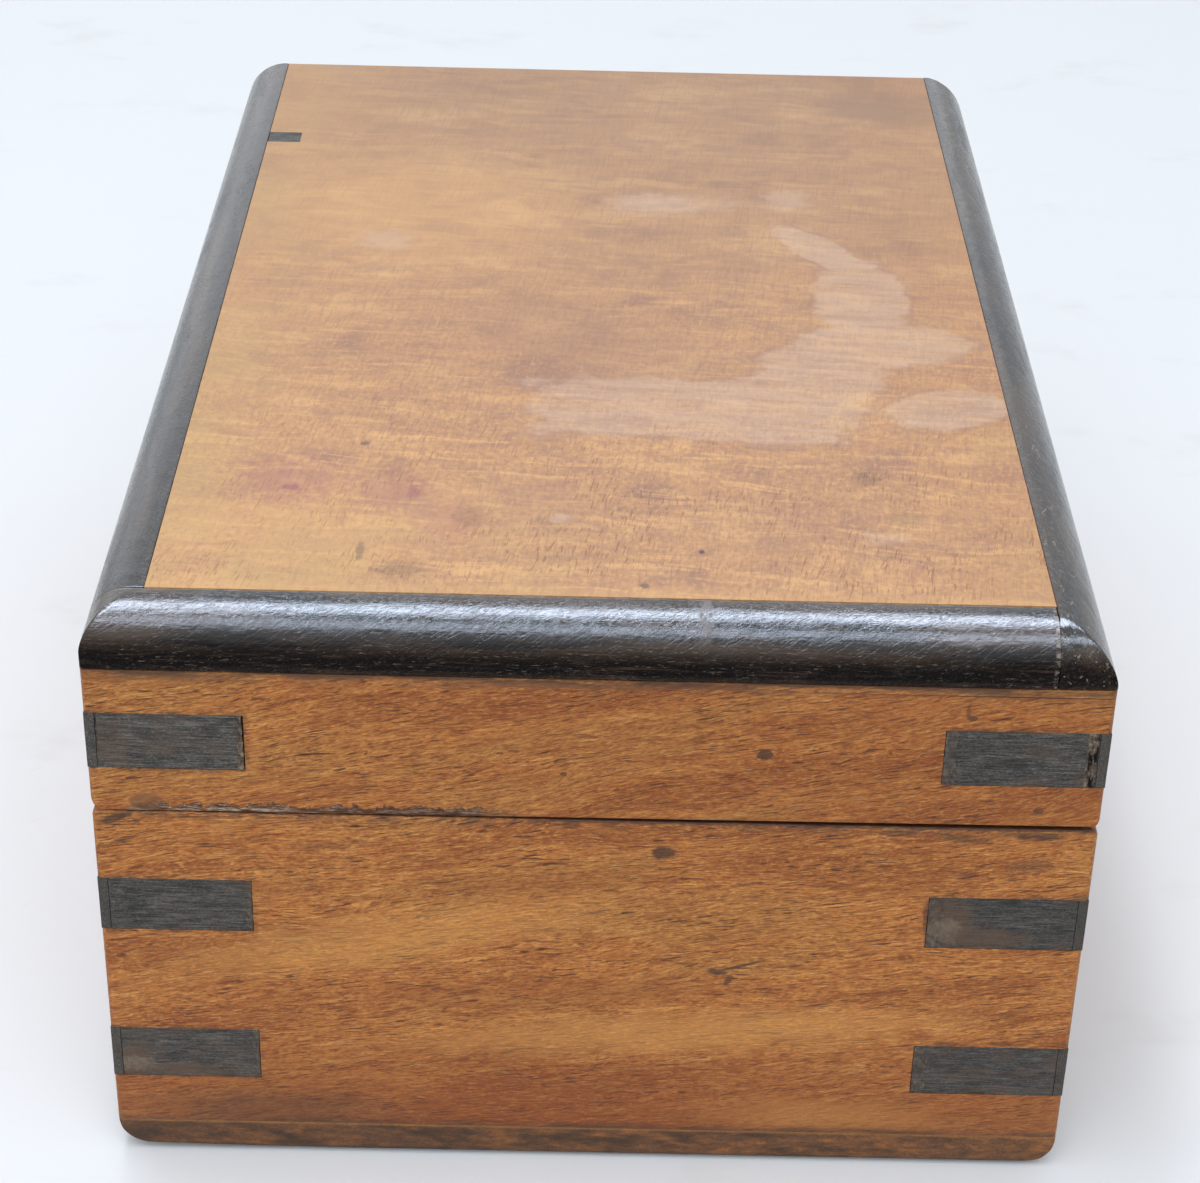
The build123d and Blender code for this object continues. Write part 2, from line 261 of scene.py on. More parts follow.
def rolled(points, axis, edge, radius, fullness):
    """Rolls an outer upper edge over: with a and c how far a point lies beyond the round's axis, outwards and
    upwards, both at least 0, and s = (a^n + c^n)^(1/n) / radius, n being the fullness, a point where s > 1 is
    drawn in to the axis by 1 / s."""
    way = math.copysign(1.0, edge)
    out = np.maximum(way * (points[:, axis] - edge) + radius, 0.0)
    up = np.maximum(points[:, 2] - BOX_TOP * MM + radius, 0.0)
    beyond = (out ** fullness + up ** fullness) ** (1 / fullness) / radius
    drawn_in = 1 - 1 / np.maximum(beyond, 1.0)
    moved = points.copy()
    moved[:, axis] -= way * out * drawn_in
    moved[:, 2] -= up * drawn_in
    return moved


def swell(points, lengths, count, seed):
    """Uneven hand work: the mean of count sine waves, each with a direction, a length between the two lengths
    and a start drawn from a seeded generator, so it runs from about -1 to 1."""
    draw = np.random.default_rng(seed)
    direction = draw.normal(size=(count, 3))
    direction /= np.linalg.norm(direction, axis=1, keepdims=True)
    size = draw.uniform(*lengths, count)
    waves = np.sin(points @ (direction / size[:, None]).T * 2 * math.pi + draw.uniform(0, 2 * math.pi, count))
    return waves.mean(axis=1)


def worn(points, low, high, depth, lengths, power, seed):
    """Pushes a block's faces in by the depth times 1 - swell: a point moves in each direction by that times
    the power of how far out it lies, which is 1 on a face and 0 in the middle."""
    inward = np.clip((2 * points - low - high) / (high - low), -1, 1) ** power
    return points + inward * (depth * (swell(points, lengths, WAVES, seed) - 1))[:, None]


def beading_form(node, seed):
    """A length of beading in its node's box: a block with worn edges, its outer upper edges rolled over, the
    left one by a radius that grows evenly from its near to its far value, and its faces worn."""
    low, high = (np.array(corner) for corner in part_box(node))
    sizes = bpy.context.scene.keepsake_ebony
    ease = sizes.joint_ease
    points, faces = block_skin(*(fine_near_round(low[i], high[i], ease, sizes.front_round) for i in range(3)))
    points = eased(points, low, high, ease)
    if low[1] < (1 - HALF_DEPTH) * MM:
        points = rolled(points, 1, low[1], sizes.front_round, ROUND)
    if low[0] < (1 - HALF_WIDTH) * MM:
        along = (points[:, 1] / MM + HALF_DEPTH) / (2 * HALF_DEPTH)
        radius = sizes.left_round + along * (sizes.left_round_far - sizes.left_round)
        points = rolled(points, 0, low[0], radius, ROUND)
    if high[0] > (HALF_WIDTH - 1) * MM:
        points = rolled(points, 0, high[0], sizes.right_round, FULL_ROUND)
    return worn(points, low, high, BEAD_WEAR, BEAD_SWELL, 3, seed), faces


def strap_form(node, seed, torn):
    """A strap in its node's box: a block with worn edges and faces, its inner end torn back by up to the
    given depth of a finer swell."""
    low, high = (np.array(corner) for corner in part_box(node))
    ease = bpy.context.scene.keepsake_ebony.strap_ease
    points, faces = block_skin(*(places_between(low[i], high[i], ease, 0.45 * MM) for i in range(3)))
    points = worn(eased(points, low, high, ease), low, high, STRAP_WEAR, STRAP_SWELL, 5, seed)
    axis = int(np.argmax((high - low)[:2]))
    way = math.copysign(1.0, low[axis] + high[axis])
    inner = min(way * low[axis], way * high[axis])
    across = points.copy()
    across[:, axis] = 0.0
    ragged = swell(across, TORN_SWELL, TORN_WAVES, seed + 1)
    near_end = np.clip(1 - (way * points[:, axis] - inner) / TORN_REACH, 0, 1)
    points[:, axis] += way * near_end * torn * np.clip(0.5 + 1.2 * ragged, 0, 1)
    return points, faces


def set_in_place(node, points, faces, material, body, slot):
    """Makes the piece, smooth all over, and lets it ride its body in place of the node that it stands for."""
    mesh = bpy.data.meshes.new(f"worn_{node}")
    mesh.from_pydata(points.tolist(), [], faces.tolist())
    mesh.polygons.foreach_set("use_smooth", np.ones(len(faces), bool))
    mesh.materials.append(material)
    piece = bpy.data.objects.new(f"worn_{node}", mesh)
    bpy.context.scene.collection.objects.link(piece)
    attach(piece, body)
    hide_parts(node)


# Patterns: their sizes and places are in mm

def add(kind, feeds=(), stops=(), tree=None, **settings):
    """Adds a node to the tree that its feeds come from, or to the given one: settings are its own properties,
    feeds its inputs, in order or by name, and stops a ramp's places and colours. A socket is linked, a value
    is set. Returns the node's first output."""
    pairs = list(feeds.items() if isinstance(feeds, dict) else enumerate(feeds))
    tree = tree or next(value.id_data for _, value in pairs if isinstance(value, bpy.types.NodeSocket))
    node = tree.nodes.new("ShaderNode" + kind)
    for name, value in settings.items():
        setattr(node, name, value)
    open_inputs = [socket for socket in node.inputs if not socket.is_unavailable]
    for key, value in pairs:
        socket = node.inputs[key] if isinstance(key, str) else open_inputs[key]
        if isinstance(value, bpy.types.NodeSocket):
            tree.links.new(value, socket)
        else:
            socket.default_value = (*value, 1.0) if socket.type == "RGBA" and len(value) == 3 else value
    for number, (place, colour) in enumerate(stops):
        elements = node.color_ramp.elements
        stop = elements[number] if number < 2 else elements.new(place)
        stop.position, stop.color = place, (*colour, 1.0)
    return next((socket for socket in node.outputs if not socket.is_unavailable), None)


def new_material(name):
    """An empty material, and the Object coordinates in mm that its patterns are laid out in."""
    material = bpy.data.materials.new(name)
    material.use_nodes = True
    material.node_tree.nodes.clear()
    metres = add("TexCoord", tree=material.node_tree).node.outputs["Object"]
    return material, add("VectorMath", {"Vector": metres, "Scale": 1 / MM}, operation="SCALE")


def finish(colour, roughness, height, depth, **constants):
    """Closes a material: its shader with colour and roughness from patterns, other sockets as constants, and
    a bump of the height, depth mm deep."""
    normal = add("Bump", {"Strength": 1.0, "Distance": depth * MM, "Height": height})
    feeds = {"Base Color": colour, "Roughness": roughness, "Normal": normal}
    feeds.update({name.replace("_", " "): value for name, value in constants.items()})
    add("OutputMaterial", {"Surface": add("BsdfPrincipled", feeds)})


def laid_along(place, turn, size, shift=(0, 0, 0)):
    """Coordinates that run along a board's grain: moved by the shift, turned by the angles in degrees, and
    measured in lengths of the given size."""
    return add("Mapping", {"Vector": place, "Location": shift, "Rotation": [math.radians(a) for a in turn],
                           "Scale": size}, vector_type="TEXTURE")


def cloudy(place, size, detail=2.0, rough=0.5, turn=(0, 0, 0), shift=(0, 0, 0)):
    """Uneven patches or streaks of the given size, from 0 to 1 and mostly near a half."""
    grain = laid_along(place, turn, size, shift)
    return add("TexNoise", {"Vector": grain, "Scale": 1.0, "Detail": detail, "Roughness": rough})


def bent_place(place, turn, size, amount, shift=(0, 0, 0)):
    """Coordinates pushed about by up to half the amount over waves of the given size, so that straight grain
    wanders."""
    waves = add("TexNoise", {"Vector": laid_along(place, turn, size, shift), "Scale": 1.0, "Detail": 1.0})
    push = add("VectorMath", (waves.node.outputs["Color"], (0.5, 0.5, 0.5)), operation="SUBTRACT")
    return add("VectorMath", (push, (amount, amount, amount), place), operation="MULTIPLY_ADD")


def axes_of(place):
    """The three coordinates, each by itself."""
    return add("SeparateXYZ", (place,)).node.outputs[:3]


def ramp(value, start, end, low=0.0, high=1.0, kind="LINEAR"):
    """Runs from low where the value is at start to high where it is at end."""
    return add("MapRange", (value, start, end, low, high), interpolation_type=kind)


def fade(value, start, end):
    """Runs smoothly from 0 where the value is at start to 1 where it is at end."""
    return ramp(value, start, end, kind="SMOOTHSTEP")


def size_of(value):
    """The value without its sign."""
    return add("Math", (value,), operation="ABSOLUTE")


def both(*masks):
    """Where all the masks lie: their product."""
    result = masks[0]
    for mask in masks[1:]:
        result = add("Math", (result, mask), operation="MULTIPLY")
    return result


def either(*masks):
    """Where any of the masks lies: the greatest of them."""
    result = masks[0]
    for mask in masks[1:]:
        result = add("Math", (result, mask), operation="MAXIMUM")
    return result


def plus(value, pattern, weight):
    """The value with a pattern added to it by weight."""
    return add("Math", (pattern, weight, value), operation="MULTIPLY_ADD")


def minus(value, other):
    """The value less the other."""
    return add("Math", (value, other), operation="SUBTRACT")


def band(value, middle, half, soft):
    """1 where the value lies within half of the middle, and 0 from soft further away."""
    return fade(size_of(minus(value, middle)), half + soft, half)


def over(ground, *layers):
    """Lays colours over the ground one after another, each where its mask lies and as strongly as given."""
    for mask, colour, share in layers:
        ground = add("Mix", (both(mask, share), ground, colour), data_type="RGBA")
    return ground


def spot_field(place, centre, size, turn=0.0, axis="Z", square=False):
    """How far out of a spot a point lies, in spots: 0 at its centre and 1 on its edge. The spot has the given
    half sizes and is turned by the angle in degrees about the axis; a square one has straight sides."""
    local = laid_along(place, [turn if name == axis else 0 for name in "XYZ"], size, centre)
    if not square:
        return add("VectorMath", (local,), operation="LENGTH").node.outputs["Value"]
    across, along, _ = axes_of(add("VectorMath", (local,), operation="ABSOLUTE"))
    return add("Math", (across, along, 0.35), operation="SMOOTH_MAX")


def patch(place, centre, size, edge, seed, turn=0.0, axis="Z"):
    """A spot, 1 inside and 0 outside. Its edge is a strength of raggedness, the grain that makes it ragged in
    mm, and how many spots it runs over each way."""
    ragged, grit, soft = edge
    rough_edge = cloudy(place, (grit, grit, grit), 3.0, 0.6, shift=(seed, seed, seed))
    moved = plus(spot_field(place, centre, size, turn, axis), rough_edge, ragged * 2)
    return fade(moved, 1.0 + ragged + soft, 1.0 + ragged - soft)


def spotted(place, colour, edge, rows, axis, level, deep=3, within=()):
    """Lays patches over the colour on one face, reaching deep mm into the wood. Each row is a patch's colour
    and strength, its centre and half sizes on the face, and its turn in degrees if it has one."""
    for tone, share, across, along, half_across, half_along, *turn in rows:
        centre, size = [across, along], [half_across, half_along]
        centre.insert("XYZ".index(axis), level)
        size.insert("XYZ".index(axis), deep)
        spot = patch(place, centre, size, edge, across, turn[0] if turn else 0.0, axis)
        colour = over(colour, (both(spot, *within), tone, share))
    return colour


def front_skin(y):
    """1 on the outer face of a front board, 0 from 1.4 mm inside it."""
    return fade(y, 1.4 - HALF_DEPTH, 1 - HALF_DEPTH)


def strap_rims(along, up, inner_end):
    """Where dirt and painted shade lie round straps that end at inner_end from the middle: 1 on each strap's
    outline and 0 a millimetre from it. A strap's distance is
    max(inner end - |along|, |height - middle| - half height)."""
    from_end = minus(inner_end, size_of(along))
    rims = []
    for low, high in STRAP_HEIGHTS.values():
        off_middle = size_of(minus(up, (low + high) / 2))
        far = size_of(either(from_end, minus(off_middle, (high - low) / 2)))
        rims.append(fade(far, 1.0, 0.0))
    return either(*rims)


# Materials

def teak_figure(place, turn, shift):
    """The figure of a teak board: broad dull and red zones, streaks that wander, fine fibres, specks and long
    dark pores. Returns its colour, its streaks and its relief."""
    timber = bpy.context.scene.keepsake_timber
    long, wide = timber.pore_long / MM, timber.pore_wide / MM
    bent = bent_place(place, turn, (34, 12, 12), 4.5, shift)
    bent = bent_place(bent, turn, (5, 2.2, 2.2), 0.7, shift)
    zone, streak, fine, speck, hair = (
        cloudy(bent, size, detail, rough, turn, shift) for size, detail, rough in (
            ((48, 9, 9), 2.0, 0.5), ((11, 1.1, 1.1), 4.0, 0.66), ((3.0, 0.3, 0.3), 4.0, 0.72),
            ((0.8, 0.24, 0.24), 2.0, 0.6), ((long, wide, wide), 1.0, 0.5)))
    short = cloudy(bent, (long * 0.45, wide * 0.8, wide * 0.8), 1.0, 0.5, turn, [s + 7 for s in shift])
    patchy = fade(cloudy(place, (15, 4, 4), 2.0, 0.5, turn, shift), 0.36, 0.62)
    pores = both(fade(hair, 0.6, 0.68), ramp(patchy, 0.0, 1.0, 0.3, 1.0))
    lesser = fade(short, 0.6, 0.7)

    colour = add("ValToRGB", (streak,), stops=(
        (0.29, timber.board_red), (0.71, timber.board_pale), (0.45, timber.board), (0.56, timber.board)))
    colour = over(
        colour,
        (fade(zone, 0.5, 0.62), timber.board_dull, 0.42), (fade(zone, 0.49, 0.36), timber.board_red, 0.5),
        (fade(fine, 0.53, 0.34), timber.board_red, 0.66), (fade(fine, 0.52, 0.7), timber.board_pale, 0.78),
        (fade(speck, 0.5, 0.3), timber.board_red, 0.54),
        (fade(speck, 0.52, 0.74), timber.board_pale, 0.48),
        (lesser, timber.board_red, 0.7), (pores, timber.pore, 0.8))
    relief = minus(both(fine, 0.5), either(pores, both(lesser, 0.5)))
    return colour, streak, relief


def waxed_teak(name, turn, shift, along_x, marks=None):
    """Old waxed teak, planed by hand: open pores filled with dark wax, streaks that rise to one side, and
    dirt and painted shade round the straps and along the seam. It gives an orange-brown, silky and slightly
    hollow look."""
    timber = bpy.context.scene.keepsake_timber
    material, place = new_material(name)
    x, y, z = axes_of(place)
    colour, streak, height = teak_figure(place, turn, shift)

    along, outward, end, face = (
        (x, y, END_STRAP_END, HALF_DEPTH) if along_x else (y, x, SIDE_STRAP_END, HALF_WIDTH))
    outside = fade(size_of(outward), face - 1.5, face - 1)
    grime_and_shade = both(fade(cloudy(place, (2.4, 2.4, 1.4), 3.0, 0.6, shift=shift), 0.4, 0.62), outside)
    under_seam = both(fade(z, BODY_RIM - 2.4, BODY_RIM), fade(z, BODY_RIM + 0.1, BODY_RIM))
    over_seam = both(fade(z, LID_RIM + 1.2, LID_RIM), fade(z, BODY_RIM, LID_RIM))
    # Dirt and painted shade, in patches: darker round each strap's outline and along the seam between lid and
    # body
    colour = over(colour, (both(strap_rims(along, z, end), grime_and_shade), timber.dirt, 0.55),
                  (both(either(under_seam, over_seam), grime_and_shade), timber.dirt, 0.55))
    if marks:
        colour, height = marks(place, (x, y, z), colour, height)
    finish(colour, ramp(streak, 0.3, 0.7, 0.6, 0.46), height, 0.08, IOR=1.5, Specular_IOR_Level=0.4)
    return material


def bead_shadow(place, axes, colour):
    """What lies under the front beading: a dull band, partly old polish and dirt and partly painted shadow, a
    darker painted shadow right under the beading's foot, and the fine dark joint between the lid's front and
    its top, which has opened towards the right."""
    timber = bpy.context.scene.keepsake_timber
    x, _, z = axes
    patchy = fade(cloudy(place, (11, 4, 1.3), 3.0, 0.6, shift=(6, 0, 0)), 0.38, 0.58)
    # A dull brown band under the beading, partly old polish and partly painted shadow
    dull = both(fade(z, LID_BOARD_TOP - 1.2, LID_BOARD_TOP + 0.4), patchy)
    # Painted shadow: darker, in the dirt colour, just under the beading's foot
    under = both(fade(z, BEAD_FOOT - 1.5, BEAD_FOOT - 0.2), ramp(patchy, 0.0, 1.0, 0.55, 1.0))
    joint = both(band(z, LID_BOARD_TOP, 0.05, 0.09), ramp(x, 30, 58, 0.12, 1.0))
    return over(colour, (dull, timber.bottom, 0.7), (under, timber.dirt, 0.62), (joint, timber.pore, 0.85))


def lid_front_marks(place, axes, colour, height):
    """The lid front's own marks: the dull band with painted shadow and the joint under the beading, grey torn
    fibres along the left half of the lower edge, a redder right end, the open seam, a red-brown half-round
    spot and a few dark ones."""
    timber = bpy.context.scene.keepsake_timber
    x, y, z = axes
    skin = front_skin(y)
    ragged = cloudy(place, (2.6, 4, 4), 4.0, 0.7)
    above = minus(z, ramp(ragged, 0.34, 0.66, LID_RIM + 0.6, LID_RIM + 2.3))
    stretch = both(fade(x, -72, -68), fade(x, -9, -20), skin)
    torn = both(fade(above, 0.12, -0.12), stretch)
    lint = cloudy(place, (1.7, 2, 0.26), 4.0, 0.72, (0, 2, 0), (1, 1, 1))
    fibres = add("ValToRGB", (lint,), stops=((0.36, timber.pore), (0.62, timber.lint), (0.5, timber.bottom)))
    fibres = over(fibres, (fade(x, -48, -34), timber.pore, 0.55))
    open_seam = both(fade(z, LID_RIM + 0.5, LID_RIM + 0.15), fade(x, -12, 4), skin)
    half_round = patch(place, (-67.6, -HALF_DEPTH, 69.3), (2.6, 4, 1.6), (0.2, 3.0, 0.15), 3.0)
    colour = over(
        bead_shadow(place, axes, colour), (torn, fibres, 1.0),
        (ramp(x, -60, 74, 0.05, 0.26), timber.board_red, 1.0), (open_seam, timber.pore, 0.8),
        (both(band(above, 0.1, 0.05, 0.12), stretch), timber.pore, 0.6), (half_round, timber.bottom, 0.62))
    colour = spotted(place, colour, (0.5, 1.2, 0.15), (
        (timber.dirt, 0.75, 24.9, 80.2, 1.2, 0.9), (timber.dirt, 0.7, 55.2, 87.4, 0.7, 0.5),
        (timber.dirt, 0.5, 54.4, 88.6, 0.3, 1.2), (timber.dirt, 0.6, -5.0, 76.0, 0.5, 0.4),
        (timber.dirt, 0.5, 66.5, 71.0, 0.8, 0.6)), **ON_FRONT)
    return colour, plus(height, both(torn, lint), 1.6)


def body_front_marks(place, axes, colour, height):
    """The body front's own marks: dark spots and a dark scratch, smudges under the seam, a redder foot, broad
    pale and red streaks, the open seam, and a lower edge darker in patches of wear and dirt and evenly along
    its last millimetre."""
    timber = bpy.context.scene.keepsake_timber
    x, y, z = axes
    dirt, pale, red = timber.dirt, timber.board_pale, timber.board_red
    colour = spotted(place, colour, (0.5, 1.5, 0.28), (
        (dirt, 0.75, 10.3, 61.9, 1.7, 1.1), (dirt, 0.7, 19.7, 39.0, 1.5, 0.6, 10),
        (dirt, 0.7, 23.2, 40.3, 3.4, 0.3, -18), (dirt, 0.65, 21.3, 37.4, 0.5, 1.2, 30),
        (dirt, 0.75, -72.4, 66.2, 2.8, 0.7, -24), (dirt, 0.45, -71.6, 62.2, 2.4, 0.4, -20),
        (dirt, 0.6, 67.0, 66.2, 3.4, 0.8), (dirt, 0.5, 56.0, 65.6, 4.2, 0.8, 8),
        (dirt, 0.5, 45.0, 66.4, 3.0, 0.6), (dirt, 0.35, 66.0, 60.5, 4.0, 1.4, -10),
        (dirt, 0.25, -40.0, 62.0, 5.0, 0.8, -8), (dirt, 0.6, 51.6, 50.5, 0.9, 3.6)), **ON_FRONT)
    colour = over(colour, (fade(z, 32, 8), red, 0.56))
    colour = spotted(place, colour, (0.6, 4.0, 0.6), (
        (pale, 0.36, -33, 44.5, 32, 4.4, -12), (pale, 0.44, 14, 26.6, 38, 3.8, -4),
        (red, 0.34, -14, 34, 32, 3.0, -3), (red, 0.24, -7, 55.5, 18, 3.2, -6),
        (dirt, 0.4, -50, 9.5, 18, 3.0), (pale, 0.24, 36, 10, 18, 3.0)), **ON_FRONT)
    open_seam = both(fade(z, BODY_RIM - 0.4, BODY_RIM - 0.1), fade(x, -30, 10), front_skin(y))
    wear = both(fade(z, 8.5, 6.4), fade(cloudy(place, (9, 9, 2)), 0.4, 0.6))
    # Darker along the lower edge: in patches of wear and dirt, and evenly over its last millimetre
    colour = over(colour, (open_seam, timber.pore, 0.8), (wear, dirt, 0.5), (fade(z, 7.7, 6.6), dirt, 0.34))
    return colour, height


def water_stain(place):
    """The joined outline of the water stain: the least of its parts' fields, made ragged, 1 inside and 0
    outside, and the narrow rim that dried last."""
    fields = [spot_field(place, (cx, cy, BOX_TOP), (sx, sy, 40), turn, "Z", square)
              for cx, cy, sx, sy, turn, square in (
                  (15.5, -42.5, 26.5, 10.5, 0, True), (30.0, -43.0, 12.5, 12.5, 0, False),
                  (37.0, -29.0, 11.0, 12.0, 0, False), (47.5, -17.5, 16.0, 8.5, 4, False),
                  (46.0, 1.0, 8.6, 17.0, 0, False), (40.5, 20.5, 4.6, 15.0, 34, False),
                  (57.5, -41.0, 10.0, 7.0, 12, False))]
    joined = fields[0]
    for field in fields[1:]:
        joined = add("Math", (joined, field, 0.12), operation="SMOOTH_MIN")
    joined = plus(joined, cloudy(place, (8, 6, 9), 5.0, 0.66, shift=(4, 4, 4)), 0.9)
    washed = cloudy(place, (15, 1.8, 4), 3.0, 0.6, (0, 0, -4), (6, 6, 6))
    stain = both(fade(joined, 1.56, 1.32), ramp(washed, 0.36, 0.62, 0.45, 1.0))
    broken = fade(cloudy(place, (7, 7, 7), 2.0, 0.5, shift=(1, 9, 3)), 0.42, 0.62)
    return stain, both(fade(joined, 1.62, 1.5), fade(joined, 1.34, 1.46), broken)


def waxed_top_teak(name):
    """The quarter-sawn top board, worn and water-stained: fine pores along its length, pale ripple across it,
    mauve mottle and ink marks, with a painted sheen greying its far end and painted light and shade that
    make its left edge paler and its right edge darker. It gives a bleached tan surface with a soft wax sheen."""
    timber = bpy.context.scene.keepsake_timber
    pale, mauve, stained, ink, dirt = timber.top_pale, timber.top_mauve, timber.stain, timber.ink, timber.dirt
    material, place = new_material(name)
    x, y, z = axes_of(place)
    bent = bent_place(place, (0, 0, 0), (26, 18, 18), 7.0)
    fibres = bent_place(place, (0, 0, 0), (9, 7, 7), 1.2)
    mottle = cloudy(bent, (20, 15, 15), 4.0, 0.6)
    cloud = cloudy(bent, (8, 5, 5), 3.0, 0.6, shift=(5, 5, 5))
    flame = cloudy(bent, (14, 4.2, 6), 2.0, 0.5, (0, 0, -6), (3, 3, 3))
    ripple = cloudy(bent, (19, 1.5, 4), 2.0, 0.5, (0, 0, -4))
    fibre = cloudy(fibres, (7, 0.4, 0.4), 3.0, 0.62, (0, 0, 83))
    grain = cloudy(fibres, (0.9, 1.2, 0.9), 3.0, 0.66, shift=(7, 7, 7))
    hair = cloudy(fibres, (3.0, 0.36, 0.36), 1.0, 0.5, (0, 0, 80), (2, 2, 2))

    crisp_ripple = both(fade(ripple, 0.57, 0.7), ramp(fade(y, 25, -60), 0.0, 1.0, 0.55, 1.0))
    near = fade(y, 90, -70)
    sides = both(fade(size_of(x), 48, 67), ramp(x, -1, 1, 1.0, 0.4))
    edges = either(sides, both(fade(y, -70, -96), fade(x, 10, -40)))
    olive = both(edges, fade(cloudy(place, (16, 22, 16), 3.0, 0.6, shift=(5, 5, 5)), 0.36, 0.62))
    pores = both(fade(hair, 0.6, 0.7), fade(y, 20, -90),
                 fade(cloudy(place, (16, 14, 14), 2.0, 0.5, shift=(9, 2, 4)), 0.36, 0.6))
    blot = patch(place, (56, 93, BOX_TOP), (11, 9, 8), (0.9, 7.0, 0.55), 0.0)
    colour = add("ValToRGB", (mottle,), stops=(
        (0.32, mauve), (0.7, pale), (0.46, timber.top), (0.56, timber.top)))
    colour = over(
        colour,
        (fade(cloud, 0.52, 0.34), mauve, 0.45), (fade(flame, 0.54, 0.68), pale, 0.5),
        (crisp_ripple, pale, 0.62), (fade(ripple, 0.46, 0.34), mauve, 0.28),
        (fade(fibre, 0.5, 0.32), mauve, 0.46), (fade(fibre, 0.55, 0.72), pale, 0.36),
        (both(fade(grain, 0.52, 0.3), near), mauve, 0.5),
        (both(fade(grain, 0.5, 0.72), near), pale, 0.5),
        (olive, timber.top_olive, 0.54), (both(fade(grain, 0.4, 0.28), edges), timber.bottom, 0.4),
        # Greyer towards the far end: painted sheen
        (pores, timber.board_red, 0.42), (fade(y, -50, 110), timber.top_grey_and_sheen, 0.54),
        # Painted light and shade of light falling from the left: the orange-brown towards the right edge, last
        # on this line, and the pale towards the left edge, first on the next
        (blot, timber.top_grey_and_sheen, 0.6), (blot, dirt, 0.12), (fade(x, 34, 68), timber.board, 0.13),
        (fade(x, -34, -66), pale, 0.2), (band(y, 0.0, 24.0, 36.0), mauve, 0.06))
    colour = spotted(place, colour, (0.6, 5.0, 0.6), (
        (pale, 0.4, -33, 38, 24, 26), (pale, 0.4, -38, -81, 20, 14), (mauve, 0.36, 5, -27, 16, 12),
        (mauve, 0.36, -10, -12, 12, 11), (mauve, 0.3, -8.5, -76, 8, 8), (mauve, 0.16, 26, -80, 14, 8)),
        deep=12, **ON_TOP)
    warm_edge = both(fade(y, -98, BEAD_INNER_FRONT), fade(z, BOX_TOP - 1, BOX_TOP - 0.5))
    stain, rim = water_stain(place)
    colour = over(colour, (warm_edge, pale, 0.4), (stain, stained, 0.5), (rim, mauve, 0.42))
    colour = spotted(place, colour, (0.9, 2.4, 0.5), (
        (stained, 0.34, -40.6, 22.1, 5, 4), (stained, 0.34, 34.5, 44.7, 4, 5),
        (stained, 0.3, 8.6, 40.9, 8, 5), (stained, 0.4, -6.4, -79.9, 1.6, 1.4),
        (stained, 0.25, 43, -84, 4, 2), (stained, 0.2, 15, 42, 12, 4)), deep=6, **ON_TOP)
    colour = spotted(place, colour, (1.3, 1.6, 0.55), (
        (ink, 0.34, -49, -69.7, 8, 7), (ink, 0.3, -32.3, -72.8, 6, 6), (ink, 0.24, -23.3, -81.2, 5, 6),
        (ink, 0.6, -48.5, -71.9, 1.6, 0.9), (ink, 0.36, -29.5, -72.5, 1.0, 1.6)), deep=6, **ON_TOP)
    colour = spotted(place, colour, (0.9, 0.9, 0.4), (
        (dirt, 0.85, 15.2, -89.3, 0.45, 0.6), (dirt, 0.6, -38.2, -56.9, 0.7, 0.7),
        (dirt, 0.45, -36.4, -90.9, 0.6, 2.4), (dirt, 0.34, 42.1, -65.6, 2.6, 2.0),
        (dirt, 0.6, 6.5, -99.5, 0.8, 0.8), (dirt, 0.3, -30.0, -96.0, 3.4, 2.0),
        (dirt, 0.2, -20.0, -80.0, 3.0, 3.0), (dirt, 0.2, 47.0, -78.0, 2.0, 3.0)), deep=4, **ON_TOP)

    # The top board's front edge below the beading takes the lid front's figure with its painted shadow
    edge_colour = bead_shadow(place, (x, y, z), teak_figure(place, (0, -12, 0), (21, 2, 13))[0])
    below = either(fade(z, BEAD_FOOT + 0.6, BEAD_FOOT + 0.3),
                   both(fade(y, HALF_DEPTH - 0.8, HALF_DEPTH - 0.3), 0.6))
    colour = over(colour, (below, edge_colour, 1.0))
    finish(colour, ramp(mottle, 0.3, 0.7, 0.6, 0.48), minus(both(fibre, 0.6), pores), 0.06,
           IOR=1.5, Specular_IOR_Level=0.4)
    return material


def dirty_bottom_teak(name):
    """The bottom board, sawn and never waxed: dull brown with its grain along the box, dirty outside and
    darkest towards the ground, and cleaner inside the box."""
    timber = bpy.context.scene.keepsake_timber
    material, place = new_material(name)
    x, _, z = axes_of(place)
    inside = fade(z, BOTTOM_FACE - 0.6, BOTTOM_FACE - 0.2)
    outside = minus(1.0, inside)
    streak = cloudy(place, (4, 26, 1.3), 4.0, 0.66, (0, 0, 2))
    fine = cloudy(place, (0.5, 8, 0.3), 3.0, 0.66, (0, 0, 2))
    smear = cloudy(place, (9, 9, 3), 3.0, 0.6, shift=(3, 3, 3))
    colour = add("ValToRGB", (streak,), stops=(
        (0.22, timber.dirt), (0.86, timber.board), (0.5, timber.bottom)))
    colour = over(
        colour, (inside, timber.board_dull, 0.4), (fade(fine, 0.52, 0.3), timber.dirt, 0.4),
        (fade(fine, 0.52, 0.72), timber.board, 0.3),
        (both(fade(smear, 0.54, 0.34), outside), timber.dirt, 0.6),
        # Darker over the lowest 2 mm, towards the ground, in the dirt colour
        (both(fade(x, 40, -50), outside), timber.dirt, 0.25), (fade(z, 2.0, 0.2), timber.dirt, 0.8))
    finish(colour, ramp(smear, 0.3, 0.7, 0.8, 0.6), fine, 0.08, IOR=1.5, Specular_IOR_Level=0.35)
    return material


